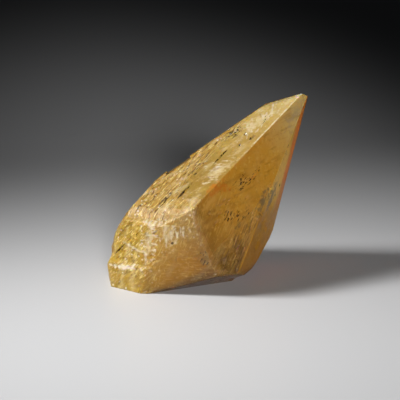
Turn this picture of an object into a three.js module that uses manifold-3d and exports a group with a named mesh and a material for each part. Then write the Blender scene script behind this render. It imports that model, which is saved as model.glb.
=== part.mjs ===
// A golden calcite crystal, an ornament that stands on its own cut base.
// It is one scalenohedron, the pointed form known as dogtooth spar. Its long axis leans to one side, because
// its base is close to a rhombohedral cleavage plane.
// Millimetres, +Z up, resting on z = 0, the tip towards +X.
import * as THREE from "three";
import { mergeVertices } from "three/addons/utils/BufferGeometryUtils.js";
import Module from "manifold-3d";

const wasm = await Module();
wasm.setup();

// Driving dimensions of the crystal and of the way it stands.
const HALF_LENGTH = 82.4; // from the middle of the crystal to its tip, along its axis
const CENTRE_HEIGHT = 19.6; // of the middle of the crystal above the base
const LEAN = 41; // of the long axis from the vertical, towards +X, in degrees
const HEADING = 15; // of the lean, from +X towards +Y, in degrees

// Angles of the scalenohedron {21-31} of calcite, in degrees.
const FACE_PITCH = 69; // from the long axis to the normal of each face of the upper half
const FACE_PITCH_BELOW = 180 - FACE_PITCH;
const PAIR_HALF_ANGLE = 19.1; // from each blunt ridge to the normals of the two faces that meet there
const SHARP_RIDGE_SLOPE = 26.9; // from the long axis to each sharp ridge
const BLUNT_RIDGE_SLOPE = 22.1; // from the long axis to each blunt ridge
const BLUNT_HALF_BEND = 17.8; // between the faces at a blunt ridge and a plane that touches both there
const ALONG_BLUNT_RIDGE = 24.3; // between the sharp and the blunt ridge of one face

const radians = THREE.MathUtils.degToRad;
const REGULAR_REACH = HALF_LENGTH * Math.cos(radians(FACE_PITCH)); // of each face from the middle
const BLOCK = 400; // side of the blocks that the solid is cut from and with

// The pose of the crystal's own frame, in which +Z is the long axis and +X is straight downhill.
const tilt = new THREE.Quaternion().setFromAxisAngle(new THREE.Vector3(0, 1, 0), radians(LEAN));
const swing = new THREE.Quaternion().setFromAxisAngle(new THREE.Vector3(0, 0, 1), radians(HEADING));
const stance = swing.clone().multiply(tilt);

// The twelve faces. A face looks out at a turn about the long axis and a pitch from it, and reach is its
// distance from the middle. Ridge is the turn of the sharp ridge that bounds it. The reaches differ a little
// from one another, as they do in any grown crystal.
function face(turn, pitch, reach, ridge) {
  return { turn, pitch, reach, ridge };
}
const P = PAIR_HALF_ANGLE;
const upperLeft = face(180 + P, FACE_PITCH, REGULAR_REACH + 1.1, -120);
const front = face(-60 - P, FACE_PITCH, REGULAR_REACH + 0.6, -120);
const right = face(-60 + P, FACE_PITCH, REGULAR_REACH + 1.2, 0);
const backRight = face(60 - P, FACE_PITCH, REGULAR_REACH + 1.5, 0);
const back = face(60 + P, FACE_PITCH, REGULAR_REACH, 120);
const backLeft = face(180 - P, 73.9, 28.8, 120);
const lowerLeft = face(-130, 122, 32.5, 180);
const lowerFront = face(-120 + P, FACE_PITCH_BELOW, REGULAR_REACH + 1.0, -60);
const underRight = face(-P, 114.5, 27.3, -60);
const underBack = face(P, FACE_PITCH_BELOW, REGULAR_REACH, 60);
const lowerBack = face(120 - P, FACE_PITCH_BELOW, REGULAR_REACH, 60);
const lowerBackLeft = face(120 + P, FACE_PITCH_BELOW, REGULAR_REACH, 180);

// Smaller faces that blunt the edges between them.
const blunting = [
  face(180, 20, 76.2), // the worn tip
  face(180, 61, 40.1), // the crest behind the tip
  face(165, 76, 29.8), // down the crest to the left
  face(160, 82, 28.9),
  face(160, 87.3, 27.5),
  face(-150, 85, 33.4), // the brow between the upper and the lower left
  face(-6, 73, 36.9), // down the right ridge
  face(-4, 79.5, 35.1),
  face(-8, 91, 31.3),
  face(-38.8, 126.9, 25.1), // the undercut at the right of the base
  face(-109, 101, 33.8), // the chip where the front ridge ends
];
const bluntingAboveFoot = [face(165, 100, 30.1), face(170, 114.7, 33.3), face(176, 132.5, 35.8)];

// A closed three.js geometry as a solid.
function solidOf(geometry) {
  const bare = geometry.clone();
  bare.deleteAttribute("normal");
  bare.deleteAttribute("uv");
  const merged = mergeVertices(bare, 1e-4);
  return new wasm.Manifold(
    new wasm.Mesh({
      numProp: 3,
      vertProperties: new Float32Array(merged.attributes.position.array),
      triVerts: new Uint32Array(merged.index.array),
    }),
  );
}

// A solid as a three.js geometry.
function geometryOf(solid) {
  const mesh = solid.getMesh();
  return new THREE.BufferGeometry()
    .setAttribute("position", new THREE.BufferAttribute(mesh.vertProperties, 3))
    .setIndex(new THREE.BufferAttribute(mesh.triVerts, 1));
}

// The unit vector at a turn about the long axis and a pitch from it.
function towards(turn, pitch) {
  return new THREE.Vector3(
    Math.sin(radians(pitch)) * Math.cos(radians(turn)),
    Math.sin(radians(pitch)) * Math.sin(radians(turn)),
    Math.cos(radians(pitch)),
  );
}

// Everything beyond a plane that is reach from the origin along normal.
function beyond(normal, reach) {
  const toNormal = new THREE.Quaternion().setFromUnitVectors(new THREE.Vector3(0, 0, 1), normal);
  const block = new THREE.BoxGeometry(BLOCK, BLOCK, BLOCK).translate(0, 0, BLOCK / 2 + reach);
  return solidOf(block.applyQuaternion(toNormal));
}

// The solid that a list of faces encloses.
function enclosedBy(faces) {
  let solid = solidOf(new THREE.BoxGeometry(BLOCK, BLOCK, BLOCK));
  for (const { turn, pitch, reach } of faces) solid = solid.subtract(beyond(towards(turn, pitch), reach));
  return solid;
}

// Sets a shape on a face: its X runs along the sharp ridge that bounds the face, counted from that end of the
// crystal, its Y runs away from the ridge across the face, and its Z looks out. Skew turns it about Z. Roll
// lowers the side that is nearer to the ridge.
function onFace(shape, { turn, pitch, reach, ridge }, along, away, { skew = 0, roll = 0 } = {}) {
  const upper = pitch < 90;
  const out = towards(turn, pitch);
  const slope = upper ? 180 - SHARP_RIDGE_SLOPE : SHARP_RIDGE_SLOPE;
  const down = towards(ridge, slope).projectOnPlane(out).normalize();
  const across = out.clone().cross(down);
  const side = Math.sign(across.dot(towards(turn, 90).sub(towards(ridge, 90))));
  const place = new THREE.Vector3(0, 0, upper ? HALF_LENGTH : -HALF_LENGTH);
  place.addScaledVector(down, along).addScaledVector(across, side * away);
  place.addScaledVector(out, reach - place.dot(out));
  shape.rotateX(radians(side * roll)).rotateZ(radians(side * skew));
  return solidOf(shape.applyMatrix4(new THREE.Matrix4().makeBasis(down, across, out).setPosition(place)));
}

// A groove or a pit: the lower half of a long octahedron.
function groove(on, along, away, length, width, depth, skew) {
  const shape = new THREE.OctahedronGeometry(1).scale(length / 2, width / 2, depth);
  return onFace(shape, on, along, away, { skew });
}

// A ledge: a strip that is sunk into the face, by near on the side that is nearer to the ridge and by far on
// the other side.
const LEDGE_HEADROOM = 9;
function ledge(on, along, away, length, width, near, far, skew) {
  const shape = new THREE.BoxGeometry(length, width, LEDGE_HEADROOM);
  shape.translate(0, 0, (LEDGE_HEADROOM - near - far) / 2);
  const roll = THREE.MathUtils.radToDeg(Math.atan((near - far) / width));
  return onFace(shape, on, along, away, { skew, roll });
}

// A repeatable source of numbers between low and high.
let seed = 271;
function between(low, high) {
  seed = (Math.imul(seed, 1664525) + 1013904223) >>> 0;
  return low + (high - low) * (seed / 2 ** 32);
}

// The crystal as a whole, and the foot at its lower left, which stands out from it a little.
const FOOT_RELIEF = 1.2;
const footFront = face(-129, 121, lowerLeft.reach + FOOT_RELIEF, 180);
const footLeft = face(170.2, 138.9, 39.5, 180);
const footShoulder = face(162.4, 105.5, 28.8, 180);
const footTop = face(-157.4, 68.4, 11.6, 180);
const upperHalf = [front, upperLeft, right, backRight, back, backLeft];
const shared = [...upperHalf, lowerFront, underRight, underBack, lowerBack, lowerBackLeft, ...blunting];
const foot = enclosedBy([...shared, footFront, footLeft, footShoulder, footTop]);
let crystal = enclosedBy([...shared, lowerLeft, ...bluntingAboveFoot]).add(foot);

// The grain of the lower left, which lies parallel to the front ridge: its angle to the sharp ridge there.
const LEFT_GRAIN = 36;

// Steps of growth. Those of the upper left face run beside its front ridge, and leave a smooth band there.
const steps = [
  ledge(upperLeft, 57, 20.3, 60, 7.5, 0.55, 0.1),
  ledge(upperLeft, 68, 24.5, 34, 6, 0.6, 0.1),
  ledge(upperLeft, 41, 22, 24, 4, 0.45, 0),
  ledge(upperLeft, 76, 17.5, 20, 3, 0.5, 0),
  ledge(backLeft, 65, 13, 13, 64, 0.9, 0.9, 17.6), // the notch in the crest
  ledge(front, 62, 28, 30, 5, 0.5, 0, ALONG_BLUNT_RIDGE),
  ledge(front, 68, 33, 26, 5, 0.6, 0, ALONG_BLUNT_RIDGE),
  ledge(front, 31, 16.5, 30, 3, 0, 0.4, ALONG_BLUNT_RIDGE),
  ledge(right, 60, 14, 26, 4, 0, 0.5, ALONG_BLUNT_RIDGE),
  ledge(lowerLeft, 76, 17, 22, 5, 0.5, 0, LEFT_GRAIN),
  ledge(lowerLeft, 68, 10, 20, 4, 0.5, 0, LEFT_GRAIN),
  ledge(backRight, 48, 8, 44, 5, 0.1, 0.6),
  ledge(backRight, 60, 22, 30, 6, 0.6, 0, ALONG_BLUNT_RIDGE),
  ledge(back, 52, 9, 46, 6, 0.6, 0.1),
  ledge(back, 66, 20, 34, 6, 0, 0.7, ALONG_BLUNT_RIDGE),
  ledge(backLeft, 40, 7, 34, 4, 0.5, 0),
  ledge(backLeft, 78, 12, 12, 6, 0.7, 0.1),
  ledge(lowerBack, 70, 12, 26, 6, 0.6, 0),
  ledge(lowerBackLeft, 72, 14, 24, 7, 0, 0.7, 20),
  ledge(underBack, 76, 14, 24, 6, 0.6, 0),
];

// The dark grooves and pits that stand out: those of the upper left face, then of the front, then the crack
// above the foot.
const GROOVE_WIDTH = 1;
const GROOVE_DEPTH = 0.9;
const marks = [];
for (const [on, along, away, length, skew = 0] of [
  [upperLeft, 49.5, 10, 10],
  [upperLeft, 73.7, 11.5, 10],
  [upperLeft, 80.5, 17.3, 10],
  [upperLeft, 34.2, 4, 4],
  [upperLeft, 35, 12.8, 8],
  [upperLeft, 34.5, 14.2, 9],
  [upperLeft, 35.5, 15.6, 9],
  [upperLeft, 34.8, 17, 8],
  [front, 46.9, 9.6, 9],
  [front, 52.4, 7.8, 5],
  [front, 64, 9, 5],
  [lowerLeft, 63, 10.2, 14, LEFT_GRAIN],
]) {
  marks.push(groove(on, along, away, length, GROOVE_WIDTH, GROOVE_DEPTH, skew));
}
const PIT_LENGTH = 2;
const PIT_WIDTH = 1.5;
for (const [on, along, away] of [
  [upperLeft, 76.3, 18.2],
  [upperLeft, 33.8, 8.7],
  [upperLeft, 40.5, 6.3],
  [front, 75.1, 6.5],
  [front, 68.1, 14.6],
  [right, 43, 7],
]) {
  marks.push(groove(on, along, away, PIT_LENGTH, PIT_WIDTH, GROOVE_DEPTH, 0));
}

// The window, a flat patch on the blunt ridge between the front and the right face.
const WINDOW_DEPTH = 0.9;
const ridgeReach = (front.reach + right.reach) / 2 / Math.cos(radians(BLUNT_HALF_BEND));
const bluntRidge = face(-60, 90 - BLUNT_RIDGE_SLOPE, ridgeReach, -120);
steps.push(ledge(bluntRidge, 49, 21.5, 13, 8, WINDOW_DEPTH, WINDOW_DEPTH, ALONG_BLUNT_RIDGE));

// Etched texture: short grooves beside one another, on each face within the limits given. They lie along the
// skew, and are longest on the faces of the upper half.
const etched = [
  { on: upperLeft, count: 38, along: [30, 86], away: [17.5, 28], length: [2.5, 8], skew: 0 },
  { on: upperLeft, count: 8, along: [20, 80], away: [3, 15], length: [1.5, 4], skew: 0 },
  { on: front, count: 16, along: [40, 80], away: [5, 18], length: [1.5, 4], skew: 0 },
  { on: front, count: 22, along: [50, 76], away: [22, 36], length: [3, 8], skew: ALONG_BLUNT_RIDGE },
  { on: right, count: 12, along: [55, 76], away: [6, 20], length: [3, 7], skew: ALONG_BLUNT_RIDGE },
  { on: lowerLeft, count: 36, along: [62, 88], away: [8, 32], length: [2, 6], skew: LEFT_GRAIN },
  { on: footFront, count: 14, along: [42, 52], away: [6, 28], length: [1.5, 4], skew: LEFT_GRAIN },
  { on: lowerFront, count: 10, along: [62, 84], away: [14, 36], length: [1.5, 4], skew: 60 },
  { on: backRight, count: 24, along: [25, 84], away: [4, 24], length: [2, 8], skew: 0 },
  { on: back, count: 28, along: [25, 86], away: [4, 26], length: [2, 8], skew: 0 },
  { on: backLeft, count: 24, along: [25, 86], away: [3, 24], length: [2, 8], skew: 0 },
  { on: lowerBack, count: 26, along: [56, 88], away: [4, 28], length: [2, 6], skew: 10 },
  { on: lowerBackLeft, count: 30, along: [54, 88], away: [3, 26], length: [2, 6], skew: 20 },
  { on: underBack, count: 16, along: [60, 88], away: [4, 24], length: [2, 6], skew: 0 },
];
const SKEW_SPREAD = 6;
const ETCH_WIDTH = [0.6, 1.1];
const ETCH_DEPTH = [0.3, 0.7];
for (const { on, count, along, away, length, skew } of etched) {
  for (let index = 0; index < count; index += 1) {
    const size = between(...length);
    const turned = skew + between(-SKEW_SPREAD, SKEW_SPREAD);
    const width = between(...ETCH_WIDTH);
    const depth = between(...ETCH_DEPTH);
    marks.push(groove(on, between(...along), between(...away), size, width, depth, turned));
  }
}

// Low knobs on the rough lower left, and on the back of it.
const KNOB_LENGTH = 3.4;
const KNOB_WIDTH = 2.2;
const KNOB_HEIGHT = 0.5;
for (const { on, count, along, away } of [
  { on: lowerLeft, count: 16, along: [64, 76], away: [14, 27] },
  { on: lowerBackLeft, count: 12, along: [58, 70], away: [12, 24] },
]) {
  for (let index = 0; index < count; index += 1) {
    const turned = LEFT_GRAIN + between(-SKEW_SPREAD, SKEW_SPREAD);
    const size = [KNOB_LENGTH, KNOB_WIDTH, KNOB_HEIGHT];
    crystal = crystal.add(groove(on, between(...along), between(...away), ...size, turned));
  }
}

for (const cut of [...steps, ...marks]) crystal = crystal.subtract(cut);

// Laid over into its stance, and cut flat where it stands.
const stood = geometryOf(crystal).applyQuaternion(stance).translate(0, 0, CENTRE_HEIGHT);
const standing = solidOf(stood).subtract(beyond(new THREE.Vector3(0, 0, -1), 0));

const geometry = geometryOf(standing);
geometry.computeBoundingBox();
const middle = geometry.boundingBox.getCenter(new THREE.Vector3());
geometry.translate(-middle.x, -middle.y, 0);

const calcite = new THREE.MeshStandardMaterial({ color: 0xb98a3c, roughness: 0.35, metalness: 0 });
const ornament = new THREE.Group();
const mesh = new THREE.Mesh(geometry, calcite);
mesh.name = "calcite_crystal";
ornament.add(mesh);

export default ornament;
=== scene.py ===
import math

import bmesh
import bpy
import numpy as np
from mathutils import Matrix, Vector, noise


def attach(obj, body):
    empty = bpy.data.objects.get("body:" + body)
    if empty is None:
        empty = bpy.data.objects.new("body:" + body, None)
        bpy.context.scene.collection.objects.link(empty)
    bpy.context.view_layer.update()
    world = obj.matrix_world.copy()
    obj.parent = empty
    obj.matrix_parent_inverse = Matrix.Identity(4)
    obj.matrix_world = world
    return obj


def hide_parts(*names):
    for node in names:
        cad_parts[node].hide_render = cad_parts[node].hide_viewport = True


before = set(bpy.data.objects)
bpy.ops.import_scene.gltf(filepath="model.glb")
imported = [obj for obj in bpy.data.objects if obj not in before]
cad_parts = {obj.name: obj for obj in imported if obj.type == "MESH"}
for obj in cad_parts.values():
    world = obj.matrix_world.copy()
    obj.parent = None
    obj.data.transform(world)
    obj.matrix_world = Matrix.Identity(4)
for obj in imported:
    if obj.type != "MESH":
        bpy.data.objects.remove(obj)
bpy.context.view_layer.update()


# The crystal is one golden calcite, a scalenohedron that leans over and stands on its own cut base. It grew
# as one piece, so a single mesh stands for all of it: the solid of the frame, divided finely, with the
# steps, grooves and pits that growth and etching left on each face.
MM = 0.001
HALF_LENGTH = 82.4
CENTRE = Vector((-7.78, 0.17, 19.6))
LEAN = 41
HEADING = 15
STANCE = Matrix.Rotation(math.radians(HEADING), 3, "Z") @ Matrix.Rotation(math.radians(LEAN), 3, "Y")
SHARP_RIDGE_SLOPE = 26.9
ALONG_BLUNT_RIDGE = 24.3
LEFT_GRAIN = 36


def towards(turn, pitch):
    """The unit vector at a turn about the long axis and a pitch from it, in degrees."""
    turn = math.radians(turn)
    pitch = math.radians(pitch)
    flat = math.sin(pitch)
    return Vector((flat * math.cos(turn), flat * math.sin(turn), math.cos(pitch)))


class Facet:
    """A face of the crystal in the crystal's own frame, in millimetres. Down runs along the sharp ridge that
    bounds it, from that end of the crystal, and across runs away from that ridge."""

    def __init__(self, turn, pitch, reach, ridge):
        upper = pitch < 90
        self.out = towards(turn, pitch)
        self.reach = reach
        slope = 180 - SHARP_RIDGE_SLOPE if upper else SHARP_RIDGE_SLOPE
        down = towards(ridge, slope)
        self.down = (down - self.out * down.dot(self.out)).normalized()
        self.across = self.out.cross(self.down)
        if self.across.dot(towards(turn, 90) - towards(ridge, 90)) < 0:
            self.across.negate()
        self.end = Vector((0, 0, HALF_LENGTH if upper else -HALF_LENGTH))


# Of each face: its turn about the long axis and its pitch from that axis in degrees, its distance from the
# middle in millimetres, and the turn of the sharp ridge that bounds it. The last two are broken faces.
FACETS = {
    "upper_left": Facet(199.1, 69, 30.63, -120),
    "front": Facet(-79.1, 69, 30.13, -120),
    "right": Facet(-40.9, 69, 30.73, 0),
    "back_right": Facet(40.9, 69, 31.03, 0),
    "back": Facet(79.1, 69, 29.53, 120),
    "back_left": Facet(160.9, 73.9, 28.8, 120),
    "lower_left": Facet(-130, 122, 32.5, 180),
    "lower_front": Facet(-100.9, 111, 30.53, -60),
    "under_right": Facet(-19.1, 114.5, 27.3, -60),
    "under_back": Facet(19.1, 111, 29.53, 60),
    "lower_back": Facet(100.9, 111, 29.53, 60),
    "lower_back_left": Facet(139.1, 111, 29.53, 180),
    "undercut": Facet(-38.8, 126.9, 25.1, -60),
    "chip": Facet(-109, 101, 33.8, -60),
}
FACET_NAMES = list(FACETS)
FACET_NUMBER = {name: number for number, name in enumerate(FACET_NAMES)}
OUT = np.array([facet.out for facet in FACETS.values()])
REACH = np.array([facet.reach for facet in FACETS.values()])
DOWN = np.array([facet.down for facet in FACETS.values()])
ACROSS = np.array([facet.across for facet in FACETS.values()])
END = np.array([facet.end for facet in FACETS.values()])


def in_crystal(points):
    """Points of the frame, in metres, as points of the crystal's own frame, in millimetres."""
    return (points / MM - np.array(CENTRE)) @ np.array(STANCE)


def nearest_facets(points):
    """The facet that each point lies on, its height over it, the next facet, and how much lower it is over
    that one."""
    heights = points @ OUT.T - REACH
    order = np.argsort(heights, axis=1)
    rows = np.arange(len(points))
    top = heights[rows, order[:, -1]]
    return order[:, -1], top, order[:, -2], top - heights[rows, order[:, -2]]


def place_on_facet(point, number):
    """Where a point lies on a facet: along its sharp ridge, and away from it."""
    offset = point - END[number]
    return offset @ DOWN[number], offset @ ACROSS[number]


# The mesh: the solid of the frame with its flat places merged, and its edges halved until all are short.
LONGEST_EDGE = 1.2 * MM
PASSES = 8
FLAT = math.radians(0.6)
WELD = 0.005 * MM

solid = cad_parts["calcite_crystal"]
form = bmesh.new()
form.from_mesh(solid.data)
bmesh.ops.remove_doubles(form, verts=form.verts[:], dist=WELD)
bmesh.ops.dissolve_limit(form, angle_limit=FLAT, verts=form.verts[:], edges=form.edges[:])
bmesh.ops.triangulate(form, faces=form.faces[:])
for _ in range(PASSES):
    long_edges = [edge for edge in form.edges if edge.calc_length() > LONGEST_EDGE]
    bmesh.ops.subdivide_edges(form, edges=long_edges, cuts=1)
    bmesh.ops.triangulate(form, faces=form.faces[:])

# Triangles with no area are merged away, and the loose flaps that this leaves are deleted, so the mesh is
# closed.
bmesh.ops.dissolve_degenerate(form, dist=WELD, edges=form.edges[:])
bmesh.ops.triangulate(form, faces=form.faces[:])
flaps = [face for face in form.faces if sum(edge.is_boundary for edge in face.edges) > 1]
bmesh.ops.delete(form, geom=flaps, context="FACES")
mesh = bpy.data.meshes.new("calcite")
form.to_mesh(mesh)
form.free()
mesh.validate()


# The relief of a face, as a depth in millimetres below it, from the place on it: along the sharp ridge and
# away from it. Rough faces have lamellae that overlap like shingles, with short grooves between them.
def eased(low, high, value):
    """0 below low, 1 above high, and smooth between them."""
    part = min(1, max(0, (value - low) / (high - low)))
    return part * part * (3 - 2 * part)


def turned(along, away, skew):
    """The place in axes that are turned by skew, in degrees."""
    cos = math.cos(math.radians(skew))
    sin = math.sin(math.radians(skew))
    return along * cos + away * sin, away * cos - along * sin


# Shifts and seeds keep the patterns apart. A groove starts at the first height of its pattern and is as deep
# as it gets at the second.
GROOVE_SHIFT = 31
SWELL_SHIFT = 57
BAND_SEED = 3
FRONT_SEED = 5
GROOVE_EDGE = (0.12, 0.5)


def waver(seed, along, away, length, width, reach):
    """A distance that wanders up to reach to either side, over that length and width."""
    return reach * noise.noise(Vector((along / length, away / width, seed)))


def lamellae(seed, along, away, width, height, drift):
    """Overlapping sheets: each rises across its width and drops at its edge."""
    wander = waver(seed, along, away, length=11, width=7, reach=drift)
    return height * ((away / width + wander) % 1)


def grooves(seed, along, away, length, width, depth):
    """Short grooves along the face, with smooth ground between them."""
    value = waver(seed + GROOVE_SHIFT, along, away, length, width, reach=1)
    return depth * eased(*GROOVE_EDGE, value)


def swell(seed, along, away, length, width, height):
    """Long, low waves."""
    return height * (0.5 + waver(seed + SWELL_SHIFT, along, away, length, width, reach=0.5))


def at_least(share, rough):
    """How rough a place is, but never under that share."""
    return share + (1 - share) * rough


# Where a face turns from smooth to rough, away from its ridge or, for an end, along it. Millimetres.
SMOOTH_BAND = (14.5, 18)
ROUGH_END = (73, 79)
ROUGH_BACK = (6, 12)
ROUGH_FRONT = (19, 26)
ROUGH_FRONT_END = (40, 50)
ROUGH_RIGHT_END = (44, 56)


def relief(number, along, away):
    """How far below its face the crystal lies at that place."""
    name = FACET_NAMES[number]
    if name == "upper_left":
        edge = away + waver(BAND_SEED, along, away, length=9, width=9, reach=1.5)
        rough = max(eased(*SMOOTH_BAND, edge), eased(*ROUGH_END, along))
        depth = rough * lamellae(number, along, away, width=2.3, height=0.42, drift=2.2)
        depth += at_least(0.12, rough) * grooves(number, along, away, length=5, width=0.9, depth=0.55)
        return depth + swell(number, along, away, length=16, width=5, height=0.12)
    if name in ("back", "back_left", "back_right"):
        edge = away + waver(number, along, away, length=14, width=9, reach=4)
        rough = eased(*ROUGH_BACK, edge)
        depth = rough * lamellae(number, along, away, width=2.8, height=0.45, drift=2.4)
        depth += at_least(0.15, rough) * grooves(number, along, away, length=6, width=1, depth=0.5)
        return depth + swell(number, along, away, length=16, width=5, height=0.12)
    if name == "front":
        rough = eased(*ROUGH_FRONT, away) * eased(*ROUGH_FRONT_END, along)
        turned_place = turned(along, away, ALONG_BLUNT_RIDGE)
        depth = rough * grooves(number, *turned_place, length=6, width=0.9, depth=0.5)
        depth += rough * lamellae(FRONT_SEED, *turned_place, width=2.6, height=0.3, drift=2)
        return depth + swell(number, along, away, length=14, width=6, height=0.1)
    if name == "right":
        rough = eased(*ROUGH_RIGHT_END, along)
        turned_place = turned(along, away, ALONG_BLUNT_RIDGE)
        depth = at_least(0.2, rough) * grooves(number, *turned_place, length=5, width=1, depth=0.4)
        return depth + swell(number, along, away, length=12, width=5, height=0.1)
    if name in ("lower_left", "lower_back_left", "lower_back", "chip"):
        turned_place = turned(along, away, LEFT_GRAIN)
        depth = lamellae(number, *turned_place, width=3.1, height=0.42, drift=3)
        depth += grooves(number, *turned_place, length=4, width=1, depth=0.45)
        return depth + swell(number, along, away, length=6, width=6, height=0.3)
    depth = grooves(number, along, away, length=5, width=1.2, depth=0.15)
    return depth + swell(number, along, away, length=10, width=7, height=0.18)


# Each point sinks by the relief of its face. That fades out towards the edges of the upper half, which stay
# crisp, and towards the cut base, which stays flat. The edges of the lower half are worn round: near them the
# relief and the outward direction pass from one face to the other, so that the two sides of an edge sink
# together and don't fold over each other. Cavity keeps how far every point then lies below its face.
CRISP_EDGE = 1.4
BASE_MARGIN = 1.2
WORN_FACETS = {"lower_left", "lower_front", "chip", "undercut", "under_right"}
DEEPEST_CUT = 1.2
WEAR_REACH = 3.2
WEAR_DEPTH = 0.6
flat_places = np.zeros(len(mesh.vertices) * 3)
mesh.vertices.foreach_get("co", flat_places)
places = flat_places.reshape(-1, 3)
points = in_crystal(places)
numbers, heights, next_numbers, margins = nearest_facets(points)
near_edge = 0.5 * (1 - np.clip(margins / WEAR_REACH, 0, 1)) ** 2
outs = OUT[numbers] * (1 - near_edge)[:, None] + OUT[next_numbers] * near_edge[:, None]
outs = outs / np.linalg.norm(outs, axis=1)[:, None] @ np.array(STANCE).T
sink = np.zeros(len(points))
hollows = np.zeros(len(points))
for row, number in enumerate(numbers):
    next_number = next_numbers[row]
    worn = {FACET_NAMES[number], FACET_NAMES[next_number]} & WORN_FACETS
    depth = relief(number, *place_on_facet(points[row], number))
    if worn:
        next_depth = relief(next_number, *place_on_facet(points[row], next_number))
        depth += near_edge[row] * (next_depth - depth)
        hollows[row] = depth
        depth += WEAR_DEPTH * max(0, 1 - margins[row] / WEAR_REACH) ** 2
    else:
        depth *= eased(0, CRISP_EDGE, margins[row])
        hollows[row] = depth
    sink[row] = depth * eased(0, BASE_MARGIN, places[row, 2] / MM)
places -= outs * (sink * MM)[:, None]
places[:, 2] = np.maximum(places[:, 2], 0)
mesh.vertices.foreach_set("co", places.ravel())
cavity = mesh.attributes.new("cavity", "FLOAT", "POINT")
cut_depth = np.where((heights > -DEEPEST_CUT) & (margins > WEAR_REACH), np.maximum(-heights, 0), 0)
cavity.data.foreach_set("value", hollows + cut_depth)

# Every facet has an attribute that is 1 on it and fades to 0 across its edges, softly in the lower half.
WORN_SOFTNESS = 3.5
CRISP_SOFTNESS = 0.25
all_heights = points @ OUT.T - REACH
for number, name in enumerate(FACET_NAMES):
    others = np.delete(all_heights, number, axis=1).max(axis=1)
    softness = WORN_SOFTNESS if name in WORN_FACETS else CRISP_SOFTNESS
    share = np.clip(0.5 + (all_heights[:, number] - others) / (2 * softness), 0, 1)
    attribute = mesh.attributes.new("on_" + name, "FLOAT", "POINT")
    attribute.data.foreach_set("value", share)

# Grain is a UV map that holds the place on the face, along and away in millimetres, and facet is its number.
centres = np.zeros(len(mesh.polygons) * 3)
mesh.polygons.foreach_get("center", centres)
face_numbers = nearest_facets(in_crystal(centres.reshape(-1, 3)))[0]
facet_attribute = mesh.attributes.new("facet", "FLOAT", "FACE")
facet_attribute.data.foreach_set("value", face_numbers.astype(np.float32))
corner_verts = np.zeros(len(mesh.loops), np.int32)
mesh.loops.foreach_get("vertex_index", corner_verts)
corner_points = in_crystal(places)[corner_verts]
corner_numbers = np.repeat(face_numbers, 3)
offset = corner_points - END[corner_numbers]
corner_along = (offset * DOWN[corner_numbers]).sum(axis=1)
corner_away = (offset * ACROSS[corner_numbers]).sum(axis=1)
grain = mesh.uv_layers.new(name="grain")
grain.data.foreach_set("uv", np.stack([corner_along, corner_away], axis=1).ravel())

crystal = bpy.data.objects.new("calcite_piece", mesh)
bpy.context.scene.collection.objects.link(crystal)
SHARP = math.radians(50)
mesh.shade_smooth()
mesh.set_sharp_from_angle(angle=SHARP)


# The finish of the crystal is golden calcite: clear enough to glow where light comes through a thin place,
# and clouded by veils, healed cracks and iron stain. These are the tools that its material is made with.
def add(tree, kind, inputs=None, **settings):
    """A shader node, with its settings, and its inputs as values or as other nodes' outputs."""
    made = tree.nodes.new("ShaderNode" + kind)
    for name, value in settings.items():
        setattr(made, name, value)
    for name, value in (inputs or {}).items():
        socket = made.inputs[name]
        if isinstance(value, bpy.types.NodeSocket):
            tree.links.new(value, socket)
        else:
            socket.default_value = value
    return made


def maths(tree, operation, first, second=0.0):
    """The result of a sum of one or two numbers."""
    return add(tree, "Math", {0: first, 1: second}, operation=operation).outputs[0]


def ramp(tree, value, at_start, at_end, start=0.0, end=1.0):
    """Start at one value, end at the other, smooth between them. Either value may be the larger."""
    sizes = {"Value": value, "From Min": at_start, "From Max": at_end, "To Min": start, "To Max": end}
    return add(tree, "MapRange", sizes, interpolation_type="SMOOTHSTEP").outputs["Result"]


def new_group(name, inputs):
    """A node group with named number inputs and one output, Mask, and its input and output nodes."""
    tree = bpy.data.node_groups.new(name, "ShaderNodeTree")
    for label, value in inputs.items():
        socket = tree.interface.new_socket(label, in_out="INPUT", socket_type="NodeSocketFloat")
        socket.default_value = value
    tree.interface.new_socket("Mask", in_out="OUTPUT", socket_type="NodeSocketFloat")
    return tree, tree.nodes.new("NodeGroupInput").outputs, tree.nodes.new("NodeGroupOutput").inputs["Mask"]


def on_facet(tree, facet):
    """1 on the facet with that number, and 0 elsewhere."""
    number = add(tree, "Attribute", attribute_name="facet").outputs["Fac"]
    return add(tree, "Math", {0: number, 1: facet, 2: 0.5}, operation="COMPARE").outputs[0]


# A spot is a soft oval patch on one facet. Its ragged edge is a wobble of its radius, whose scale is in waves
# per millimetre.
WOBBLE_SCALE = 0.45
WOBBLE_REACH = 3.0
spot_tree, spot_in, spot_out = new_group("spot", {
    "Facet": 0, "Along": 0, "Away": 0, "Length": 10, "Width": 5, "Turn": 0, "Soft": 0.5, "Ragged": 0.4,
})
place = add(spot_tree, "UVMap", uv_map="grain").outputs["UV"]
middle = add(spot_tree, "CombineXYZ", {"X": spot_in["Along"], "Y": spot_in["Away"]}).outputs[0]
centred = add(spot_tree, "VectorMath", {0: place, 1: middle}, operation="SUBTRACT").outputs[0]
angle = maths(spot_tree, "RADIANS", maths(spot_tree, "MULTIPLY", spot_in["Turn"], -1.0))
straight = add(spot_tree, "VectorRotate", {"Vector": centred, "Angle": angle}, rotation_type="Z_AXIS")
halves = add(spot_tree, "CombineXYZ", {
    "X": maths(spot_tree, "MULTIPLY", spot_in["Length"], 0.5),
    "Y": maths(spot_tree, "MULTIPLY", spot_in["Width"], 0.5),
    "Z": 1.0,
}).outputs[0]
sized = add(spot_tree, "VectorMath", {0: straight.outputs[0], 1: halves}, operation="DIVIDE").outputs[0]
radius = add(spot_tree, "VectorMath", {0: sized}, operation="LENGTH").outputs["Value"]
wobble = add(spot_tree, "TexNoise", {"Vector": place, "Scale": WOBBLE_SCALE, "Detail": 3.0}).outputs["Fac"]
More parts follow.
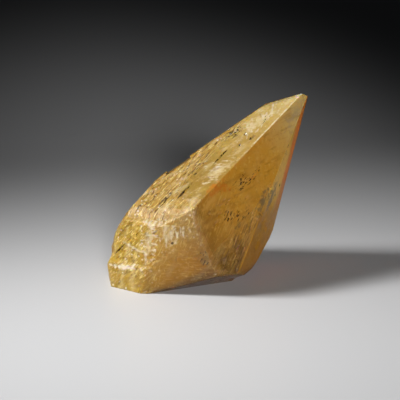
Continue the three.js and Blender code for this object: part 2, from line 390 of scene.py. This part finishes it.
wobble = maths(spot_tree, "MULTIPLY", maths(spot_tree, "SUBTRACT", wobble, 0.5), spot_in["Ragged"])
radius = maths(spot_tree, "ADD", radius, maths(spot_tree, "MULTIPLY", wobble, WOBBLE_REACH))
inner = maths(spot_tree, "SUBTRACT", 1.0, spot_in["Soft"])
patch = ramp(spot_tree, radius, inner, 1.0, 1.0, 0.0)
spot_tree.links.new(maths(spot_tree, "MULTIPLY", patch, on_facet(spot_tree, spot_in["Facet"])), spot_out)

# Streaks lie along the grain of each facet, turned by an angle: fine lines if they are narrow, veils if wide.
# The shift from facet to facet keeps those of one from running on in the next.
FACET_SHIFT = 7.3
streak_tree, streak_in, streak_out = new_group("streaks", {
    "Length": 8, "Width": 1, "Turn": 0, "Low": 0.55, "High": 0.7, "Shift": 0, "Detail": 2,
})
place = add(streak_tree, "UVMap", uv_map="grain").outputs["UV"]
angle = maths(streak_tree, "RADIANS", maths(streak_tree, "MULTIPLY", streak_in["Turn"], -1.0))
straight = add(streak_tree, "VectorRotate", {"Vector": place, "Angle": angle}, rotation_type="Z_AXIS")
size_in = {"X": streak_in["Length"], "Y": streak_in["Width"], "Z": 1.0}
spacing = add(streak_tree, "CombineXYZ", size_in).outputs[0]
sized = add(streak_tree, "VectorMath", {0: straight.outputs[0], 1: spacing}, operation="DIVIDE").outputs[0]
number = add(streak_tree, "Attribute", attribute_name="facet").outputs["Fac"]
shift = maths(streak_tree, "ADD", maths(streak_tree, "MULTIPLY", number, FACET_SHIFT), streak_in["Shift"])
lift = add(streak_tree, "CombineXYZ", {"Z": shift}).outputs[0]
moved = add(streak_tree, "VectorMath", {0: sized, 1: lift}, operation="ADD").outputs[0]
noise_in = {"Vector": moved, "Scale": 1.0, "Detail": streak_in["Detail"]}
lines = add(streak_tree, "TexNoise", noise_in).outputs["Fac"]
streak_tree.links.new(ramp(streak_tree, lines, streak_in["Low"], streak_in["High"]), streak_out)

# Clouds are soft, and run through the whole crystal, across its edges.
cloud_tree, cloud_in, cloud_out = new_group("clouds", {
    "Size": 20, "Low": 0.4, "High": 0.7, "Shift": 0, "Detail": 3,
})
inside = add(cloud_tree, "TexCoord").outputs["Object"]
scale = maths(cloud_tree, "DIVIDE", 1 / MM, cloud_in["Size"])
sized = add(cloud_tree, "VectorMath", {0: inside, "Scale": scale}, operation="SCALE").outputs[0]
lift = add(cloud_tree, "CombineXYZ", {"X": cloud_in["Shift"], "Y": cloud_in["Shift"]}).outputs[0]
moved = add(cloud_tree, "VectorMath", {0: sized, 1: lift}, operation="ADD").outputs[0]
noise_in = {"Vector": moved, "Scale": 1.0, "Detail": cloud_in["Detail"]}
mist = add(cloud_tree, "TexNoise", noise_in).outputs["Fac"]
cloud_tree.links.new(ramp(cloud_tree, mist, cloud_in["Low"], cloud_in["High"]), cloud_out)

# Specks are small round dots, on a share of the cells of a grid of points.
speck_tree, speck_in, speck_out = new_group("specks", {"Size": 1.2, "Share": 0.3, "Radius": 0.3})
inside = add(speck_tree, "TexCoord").outputs["Object"]
scale = maths(speck_tree, "DIVIDE", 1 / MM, speck_in["Size"])
sized = add(speck_tree, "VectorMath", {0: inside, "Scale": scale}, operation="SCALE").outputs[0]
cells = add(speck_tree, "TexVoronoi", {"Vector": sized, "Scale": 1.0})
chosen = add(speck_tree, "SeparateColor", {0: cells.outputs["Color"]}).outputs["Red"]
chosen = maths(speck_tree, "LESS_THAN", chosen, speck_in["Share"])
dot = ramp(speck_tree, cells.outputs["Distance"], 0.0, speck_in["Radius"], 1.0, 0.0)
speck_tree.links.new(maths(speck_tree, "MULTIPLY", dot, chosen), speck_out)

calcite = bpy.data.materials.new("golden_calcite")
calcite.use_nodes = True
tree = calcite.node_tree
tree.nodes.clear()


def mask(group, **inputs):
    """The mask of one of the node groups above."""
    made = tree.nodes.new("ShaderNodeGroup")
    made.node_tree = group
    for label, value in inputs.items():
        made.inputs[label.capitalize()].default_value = value
    return made.outputs["Mask"]


def patch_on(name, at_along, at_away, length, width, turn, soft, ragged):
    """A spot on the facet of that name."""
    return mask(
        spot_tree, facet=FACET_NUMBER[name], along=at_along, away=at_away, length=length, width=width,
        turn=turn, soft=soft, ragged=ragged,
    )


def both(*masks):
    """Where all the masks are: their product."""
    product = masks[0]
    for other in masks[1:]:
        product = maths(tree, "MULTIPLY", product, other)
    return product


def either(*masks):
    """Where any of the masks is: the highest of them."""
    highest = masks[0]
    for other in masks[1:]:
        highest = maths(tree, "MAXIMUM", highest, other)
    return highest


# The colour sockets of a mix node, which have numbers because several of them share a name.
MIX_SHARE = 0
MIX_UNDER = 6
MIX_OVER = 7
MIX_RESULT = 2


def over(under, colour, share):
    """Colour laid over what is under it, by the share at each place."""
    made = tree.nodes.new("ShaderNodeMix")
    made.data_type = "RGBA"
    tree.links.new(share, made.inputs[MIX_SHARE])
    for number, layer in [(MIX_UNDER, under), (MIX_OVER, colour)]:
        if isinstance(layer, bpy.types.NodeSocket):
            tree.links.new(layer, made.inputs[number])
        else:
            made.inputs[number].default_value = (*layer, 1)
    return made.outputs[MIX_RESULT]


def face_of(name):
    """1 on the facet of that name."""
    return add(tree, "Attribute", attribute_name="on_" + name).outputs["Fac"]


def cover(share, strength):
    """A mask at a part of its strength."""
    return maths(tree, "MULTIPLY", share, strength)


# The colours of the body, from the pale bands to the deep amber of the thick places, the dark tones of
# painted shade low down and underneath, the orange of painted glow, and those of the marks.
STRAW = (0.58, 0.41, 0.115)
HONEY = (0.47, 0.275, 0.05)
AMBER = (0.36, 0.19, 0.035)
BROWN = (0.57, 0.285, 0.028)
DEEP = (0.19, 0.085, 0.003)
SHADE_OLIVE = (0.09, 0.035, 0.0005)
GLOW_ORANGE = (0.85, 0.22, 0.01)
VEIL = (0.80, 0.66, 0.36)
GLOW = (0.75, 0.52, 0.13)
WHITE = (0.95, 0.88, 0.72)
CREAM = (0.90, 0.72, 0.27)
GREY = (0.17, 0.12, 0.045)
RUST = (0.56, 0.19, 0.015)
UMBER = (0.13, 0.06, 0.010)
SOOT = (0.035, 0.018, 0.006)
BUFF = (0.64, 0.45, 0.16)
SAND = (0.36, 0.225, 0.045)
PALE_SAND = (0.72, 0.54, 0.20)
OCHRE = (0.50, 0.31, 0.025)
DEEP_OCHRE = (0.44, 0.26, 0.025)
DULL_OCHRE = (0.46, 0.27, 0.03)
KHAKI = (0.38, 0.24, 0.06)
TOFFEE = (0.48, 0.25, 0.018)
TREACLE = (0.35, 0.155, 0.004)
SHADE_MAHOGANY = (0.25, 0.105, 0.004)
SHADE_RUSSET = (0.33, 0.145, 0.008)
MARIGOLD = (0.90, 0.54, 0.07)
CHESTNUT = (0.46, 0.21, 0.008)
CARAMEL = (0.60, 0.33, 0.07)
TAN = (0.62, 0.34, 0.07)
FROST = (0.42, 0.32, 0.17)

# The place on each face, and the zones that several layers share. The two values of a ramp on along or away
# are millimetres.
grain_uv = add(tree, "UVMap", uv_map="grain").outputs["UV"]
along_away = add(tree, "SeparateXYZ", {0: grain_uv})
along = along_away.outputs["X"]
away = along_away.outputs["Y"]
cavity_depth = add(tree, "Attribute", attribute_name="cavity").outputs["Fac"]
upper_left = face_of("upper_left")
front = face_of("front")
right = face_of("right")
lower_left = face_of("lower_left")
lower_front = face_of("lower_front")
chip = face_of("chip")
rough_left = both(upper_left, either(ramp(tree, away, 13.5, 18.0), ramp(tree, along, 72.0, 79.0)))
rough_front = both(front, ramp(tree, away, 18.0, 27.0), ramp(tree, along, 38.0, 52.0))

# The colour of each face, under all marks. Every face fades from a paler part to a deeper one.
# The lower front darkens through treacle to olive towards its edge with the underside: painted shade.
front_below_shaded = over(TOFFEE, TREACLE, ramp(tree, away, 38.0, 20.0))
front_below_shaded = over(front_below_shaded, SHADE_OLIVE, ramp(tree, away, 17.5, 13.5))
golden = over(HONEY, AMBER, mask(cloud_tree, size=26, low=0.35, high=0.7, shift=2))
colour = over(golden, front_below_shaded, either(front, lower_front))
band_colour = over(STRAW, SAND, ramp(tree, along, 20.0, 66.0))
band_colour = over(band_colour, PALE_SAND, ramp(tree, along, 26.0, 6.0))
colour = over(colour, band_colour, upper_left)
colour = over(colour, HONEY, rough_left)
# The front deepens towards the base and towards its lower right: painted shade. It is paler buff near the
# tip.
front_colour_shaded = over(BROWN, DEEP, ramp(tree, along, 60.0, 94.0))
front_colour_shaded = over(front_colour_shaded, DEEP, both(ramp(tree, away, 20.0, 34.0), ramp(tree, along, 50.0, 70.0)))
front_colour_shaded = over(front_colour_shaded, BUFF, ramp(tree, along, 38.0, 10.0))
colour = over(colour, front_colour_shaded, front)
# The right face is marigold, with an orange strip along its sharp ridge that is painted glow, light seen
# through the thin edge. Lower down it turns chestnut.
right_colour_and_glow = over(MARIGOLD, GLOW_ORANGE, ramp(tree, away, 5.5, 3.5))
right_colour_and_glow = over(right_colour_and_glow, CHESTNUT, ramp(tree, along, 42.0, 58.0))
colour = over(colour, right_colour_and_glow, right)
left_colour = over(OCHRE, DEEP_OCHRE, ramp(tree, along, 58.0, 50.0))
left_colour = over(left_colour, DULL_OCHRE, ramp(tree, away, 18.0, 32.0))
colour = over(colour, left_colour, lower_left)
# The lower front turns mahogany near the base: painted shade where it meets the floor.
foot_colour_shaded = over(front_below_shaded, SHADE_MAHOGANY, ramp(tree, along, 77.0, 87.0))
colour = over(colour, foot_colour_shaded, lower_front)
# A band of painted shade along the front's edge with the lower front, darkening the worn edge where it faces
# the fill light.
front_edge_shade = both(front, ramp(tree, lower_front, 0.02, 0.4))
colour = over(colour, SHADE_RUSSET, cover(front_edge_shade, 0.75))
# The undercut and the face under the right are dark olive: painted shade where they turn under towards the
# floor.
colour = over(colour, SHADE_OLIVE, face_of("undercut"))
colour = over(colour, SHADE_OLIVE, face_of("under_right"))
colour = over(colour, KHAKI, chip)

# Soft depth: darker and paler clouds that run through the whole crystal.
colour = over(colour, AMBER, cover(mask(cloud_tree, size=14, low=0.5, high=0.72, shift=5), 0.35))
colour = over(colour, GLOW, cover(mask(cloud_tree, size=9, low=0.56, high=0.78, shift=9, detail=6), 0.3))
colour = over(colour, UMBER, cover(mask(cloud_tree, size=1.7, low=0.52, high=0.72, shift=27, detail=4), 0.22))
colour = over(colour, GLOW, cover(mask(cloud_tree, size=1.5, low=0.52, high=0.74, shift=33, detail=4), 0.35))
inner = both(mask(cloud_tree, size=5, low=0.42, high=0.66, shift=17, detail=5), front)
colour = over(colour, CARAMEL, cover(inner, 0.4))
inner = both(mask(streak_tree, length=9, width=2.4, turn=-20, low=0.5, high=0.72, shift=41, detail=5), front)
colour = over(colour, DEEP, cover(inner, 0.4))

# Faint growth lines run down the lower half of the front. Those of each tint: their length, where they start
# and are full in their pattern, their shift and their strength.
LOWER_FRONT_GRAIN = -32
GROWTH_LINES = [(AMBER, 6, 0.52, 0.64, 0, 0.35), (GLOW, 5, 0.54, 0.66, 8, 0.25)]
front_half = both(front, ramp(tree, along, 50.0, 68.0))
for zone, skew, first_shift in [(front_half, ALONG_BLUNT_RIDGE, 51), (lower_front, LOWER_FRONT_GRAIN, 71)]:
    for tint, length, low, high, shift, strength in GROWTH_LINES:
        growth = mask(
            streak_tree, length=length, width=0.8, turn=skew, low=low, high=high, shift=first_shift + shift,
            detail=3,
        )
        colour = over(colour, tint, cover(both(growth, zone), strength))

# Veils lie along the grain, wide and pale in the smooth band and on the lower faces.
pale_zones = either(upper_left, lower_left, lower_front)
veils = mask(streak_tree, length=9, width=3.2, turn=12, low=0.45, high=0.75, shift=1, detail=6)
veil_share = ramp(tree, lower_front, 0.0, 1.0, start=0.5, end=0.12)
colour = over(colour, VEIL, both(veils, pale_zones, veil_share))
fine_veils = mask(streak_tree, length=3, width=1.2, turn=70, low=0.5, high=0.75, shift=31, detail=4)
colour = over(colour, WHITE, cover(both(fine_veils, veils, upper_left), 0.8))
colour = over(colour, CREAM, cover(both(fine_veils, veils, lower_left), 0.6))

# Lamellae of the rough faces: fine umber lines with pale ones between them.
dark_lines = mask(streak_tree, length=7, width=0.85, low=0.56, high=0.62, shift=3, detail=1.5)
pale_lines = mask(streak_tree, length=4, width=0.7, low=0.56, high=0.64, shift=13, detail=2)
colour = over(colour, UMBER, cover(both(dark_lines, rough_left), 0.9))
colour = over(colour, CREAM, cover(both(pale_lines, rough_left), 0.75))
turn = ALONG_BLUNT_RIDGE
dark_lines = mask(streak_tree, length=5, width=0.8, turn=turn, low=0.54, high=0.6, shift=4, detail=2)
pale_lines = mask(streak_tree, length=4, width=0.6, turn=turn, low=0.56, high=0.68, shift=24, detail=2)
colour = over(colour, UMBER, cover(both(dark_lines, rough_front), 0.75))
colour = over(colour, HONEY, cover(both(pale_lines, rough_front), 0.3))
left_rows = either(lower_left, chip, face_of("lower_back_left"))
left_rows = both(left_rows, ramp(tree, along, 49.0, 55.0, start=0.3))
turn = LEFT_GRAIN
dark_lines = mask(streak_tree, length=2.6, width=0.6, turn=turn, low=0.56, high=0.66, shift=5, detail=2)
pale_lines = mask(streak_tree, length=3, width=0.7, turn=turn, low=0.54, high=0.66, shift=15, detail=3)
colour = over(colour, UMBER, cover(both(dark_lines, left_rows), 0.55))
colour = over(colour, CREAM, cover(both(pale_lines, left_rows), 0.75))

# Feathery healed cracks cross the pale parts: facet, along, away, length, width, and the turn of the plumes.
# The plumes of each tint: where they start and are full in their pattern, their shift and their strength.
PLUMES = [(WHITE, 0.5, 0.64, 3, 0.6), (AMBER, 0.54, 0.66, 9, 0.45)]
for name, at_along, at_away, length, width, turn in [
    ("upper_left", 22, 8, 36, 14, -35),
    ("upper_left", 57, 5, 22, 9, 62),
    ("lower_left", 74, 26, 26, 16, 75),
    ("lower_front", 78, 36, 18, 10, 60),
]:
    spot = patch_on(name, at_along, at_away, length, width, turn=0, soft=0.7, ragged=0.8)
    for tint, low, high, shift, strength in PLUMES:
        plumes = mask(
            streak_tree, length=5, width=1.3, turn=turn, low=low, high=high, shift=at_along + shift, detail=4,
        )
        colour = over(colour, tint, cover(both(spot, plumes), strength))

# Soft patches: facet, along, away, length, width, turn, colour and strength. First the grey frost below the
# tip and the grey windows, then the iron stain on the front ridge, the veils and pale patches, a row of
# painted glints on the lower left face, and painted highlights along the sharp ridge and at the tip.
for name, at_along, at_away, length, width, turn, tint, strength in [
    ("front", 11, 3.5, 19, 6, 10, FROST, 0.6),
    ("front", 49, 23, 15, 8, 30, GREY, 0.85),
    ("front", 90, 20, 10, 6, 60, GREY, 0.6),
    ("front", 67, 21, 6, 4, 0, GREY, 0.45),
    ("lower_front", 84, 20, 9, 6, 50, GREY, 0.5),
    ("right", 48, 15, 17, 12, 20, GREY, 0.85),
    ("upper_left", 67, 0.2, 12, 3.4, 0, RUST, 0.7),
    ("front", 66, 1.0, 15, 5, -6, RUST, 0.75),
    ("front", 62.4, 3.4, 8, 4, -40, RUST, 0.7),
    ("front", 71, 2.6, 16, 3, 0, TAN, 0.7),
    ("upper_left", 57, 4, 16, 7, 8, VEIL, 0.5),
    ("upper_left", 24, 8, 22, 8, 20, VEIL, 0.7),
    ("upper_left", 8, 3, 14, 5, 0, VEIL, 0.7),
    ("upper_left", 78, 3, 14, 8, 0, VEIL, 0.35),
    ("lower_left", 71, 25, 18, 6, 8, VEIL, 0.6),
    ("lower_left", 64, 24, 13, 3, -24, WHITE, 0.35),
    ("lower_left", 66, 16, 14, 1.6, 95, WHITE, 0.4),
    ("lower_left", 84, 26, 14, 12, 20, WHITE, 0.4),
    # A row of painted glints on the lower left face.
    ("lower_left", 56, 15, 20, 3, 77, WHITE, 0.75),
    # Painted highlights: a thin line along the sharp ridge, and a spot at the tip.
    ("upper_left", 22, 0.3, 50, 1.1, 0, WHITE, 0.6),
    ("upper_left", 3, 1, 6, 4, 0, WHITE, 0.7),
    ("lower_front", 77, 38, 16, 8, 70, VEIL, 0.6),
]:
    spot = patch_on(name, at_along, at_away, length, width, turn, soft=0.85, ragged=1.1)
    colour = over(colour, tint, cover(spot, strength))

# Dark grooves, pits and the crack above the foot, each a cluster of short broken lines: facet, along, away,
# length, width, turn, and where the lines start in their pattern: the lower, the closer together they are.
LINE_EDGE = 0.06
for name, at_along, at_away, length, width, turn, low in [
    ("upper_left", 49.5, 10, 14, 1.5, 0, 0.44),
    ("upper_left", 73.7, 11.5, 13, 2, 2, 0.46),
    ("upper_left", 80.5, 17.3, 13, 2.6, -2, 0.48),
    ("upper_left", 76.3, 18.2, 2.4, 1.7, 0, 0.1),
    ("upper_left", 34.2, 4, 6, 2, 0, 0.44),
    ("upper_left", 33.8, 8.7, 3, 2, 0, 0.44),
    ("upper_left", 40.5, 6.3, 3, 2, 0, 0.44),
    ("upper_left", 35, 15, 13, 7, 25, 0.48),
    ("upper_left", 62, 15, 22, 4, 0, 0.56),
    ("upper_left", 22, 6, 8, 3, 0, 0.55),
    ("front", 46.9, 9.6, 14, 4, 0, 0.52),
    ("front", 54, 7.5, 12, 7, 0, 0.55),
    ("front", 75.1, 6.5, 6, 3, 0, 0.52),
    ("front", 68.1, 14.6, 9, 6, 20, 0.52),
    ("front", 68.4, 9.4, 9, 5, 10, 0.6),
    ("front", 64, 19, 15, 9, 10, 0.6),
    ("right", 43, 7, 2.2, 1.8, 0, 0.1),
    ("right", 26, 10, 9, 5, 20, 0.54),
    ("lower_left", 62, 9.5, 15, 0.8, LEFT_GRAIN, 0.42),
    ("lower_front", 75.9, 33.3, 1.8, 1.6, 0, 0.1),
    ("lower_front", 84, 20, 10, 8, 30, 0.56),
]:
    mark = patch_on(name, at_along, at_away, length, width, turn, soft=0.6, ragged=0.6)
    broken = mask(
        streak_tree, length=2.2, width=0.8, turn=turn, low=low, high=low + LINE_EDGE, shift=at_along,
        detail=1,
    )
    colour = over(colour, SOOT, cover(both(mark, broken), 0.9))

# Hollows are darkened by how far they lie below their face: painted shade. White specks on the rough and
# broken faces are painted glints.
colour = over(colour, UMBER, cover(ramp(tree, cavity_depth, 0.6, 1.4), 0.3))
sparkle_zone = either(lower_left, chip, rough_left)
specks = both(mask(speck_tree, size=1.5, share=0.2, radius=0.45), sparkle_zone)
colour = over(colour, WHITE, cover(specks, 0.85))
pepper = both(mask(speck_tree, size=1.1, share=0.12, radius=0.4), maths(tree, "SUBTRACT", 1.0, rough_left))
colour = over(colour, UMBER, cover(pepper, 0.3))

# The surface: glossy where it is smooth, and broken into fine lamellae where it is rough.
rough_zones = either(rough_left, rough_front, left_rows)
ripple = mask(streak_tree, length=3, width=0.5, low=0.3, high=0.7, shift=21, detail=4)
ripple = both(ripple, ramp(tree, rough_zones, 0.0, 1.0, start=0.12))
bump = add(tree, "Bump", {"Height": ripple, "Strength": 0.6, "Distance": 0.35 * MM})
dull = either(rough_zones, right, chip, lower_front)
gloss = ramp(tree, dull, 0.0, 0.5, start=0.18, end=0.38)

bsdf = add(tree, "BsdfPrincipled", {
    "Base Color": colour,
    "Roughness": gloss,
    "Normal": bump.outputs["Normal"],
    "IOR": 1.58,
    "Specular IOR Level": 0.15,
    "Subsurface Weight": 0.4,
    "Subsurface Radius": (1.0, 0.6, 0.12),
    "Subsurface Scale": 5 * MM,
    "Transmission Weight": 0.4,
})
depth_tint = add(tree, "VolumeAbsorption", {"Color": (1.0, 0.76, 0.06, 1), "Density": 120.0})
add(tree, "OutputMaterial", {"Surface": bsdf.outputs[0], "Volume": depth_tint.outputs[0]})

mesh.materials.append(calcite)
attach(crystal, "root")
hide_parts("calcite_crystal")


# The floor is a plain pale sheet. It isn't part of the object.
FLOOR_SIZE = 6.0
FLOOR_COLOUR = (0.52, 0.52, 0.525, 1)
FLOOR_ROUGHNESS = 0.45
floor_form = bmesh.new()
bmesh.ops.create_grid(floor_form, x_segments=1, y_segments=1, size=FLOOR_SIZE / 2)
floor_mesh = bpy.data.meshes.new("floor")
floor_form.to_mesh(floor_mesh)
floor_form.free()
floor = bpy.data.objects.new("floor", floor_mesh)
bpy.context.scene.collection.objects.link(floor)
paper = bpy.data.materials.new("pale_floor")
paper.use_nodes = True
paper_bsdf = paper.node_tree.nodes["Principled BSDF"]
paper_bsdf.inputs["Base Color"].default_value = FLOOR_COLOUR
paper_bsdf.inputs["Roughness"].default_value = FLOOR_ROUGHNESS
floor_mesh.materials.append(paper)


# The light of a small studio: a soft key from the upper left that pools round the crystal, and a weak fill
# from the front, in a dim room.
def softbox(name, place, aim, size, power, spread):
    """A square area light at a place, turned towards aim. Metres, watts, and degrees of spread."""
    light = bpy.data.lights.new(name, "AREA")
    light.size = size
    light.energy = power
    light.spread = math.radians(spread)
    made = bpy.data.objects.new(name, light)
    made.location = place
    made.rotation_euler = (Vector(aim) - Vector(place)).to_track_quat("-Z", "Y").to_euler()
    bpy.context.scene.collection.objects.link(made)


softbox("key", place=(-0.66, -0.12, 0.56), aim=(-0.02, -0.08, 0.02), size=0.2, power=0.52, spread=32)
softbox("fill", place=(0.12, -0.80, 0.24), aim=(0.01, -0.02, 0.025), size=0.3, power=0.25, spread=17)
ROOM_TINT = (0.9, 0.95, 1, 1)
ROOM_LIGHT = 0.006
world = bpy.data.worlds.new("room")
world.use_nodes = True
world.node_tree.nodes["Background"].inputs["Color"].default_value = ROOM_TINT
world.node_tree.nodes["Background"].inputs["Strength"].default_value = ROOM_LIGHT
bpy.context.scene.world = world
bpy.context.scene.view_settings.view_transform = "Standard"

# The camera looks along +Y from the front, a little down, with the view of the photograph.
CAMERA_TARGET = Vector((-3.2, 0, 35.3)) * MM
CAMERA_DISTANCE = 500 * MM
CAMERA_ELEVATION = math.radians(16)
FOCAL_LENGTH = 100
SENSOR_WIDTH = 36
NEAREST = 10 * MM
lens = bpy.data.cameras.new("camera")
lens.lens = FOCAL_LENGTH
lens.sensor_width = SENSOR_WIDTH
lens.clip_start = NEAREST
camera = bpy.data.objects.new("camera", lens)
backwards = Vector((0, -math.cos(CAMERA_ELEVATION), math.sin(CAMERA_ELEVATION)))
camera.location = CAMERA_TARGET + backwards * CAMERA_DISTANCE
camera.rotation_euler = (-backwards).to_track_quat("-Z", "Y").to_euler()
bpy.context.scene.collection.objects.link(camera)
bpy.context.scene.camera = camera
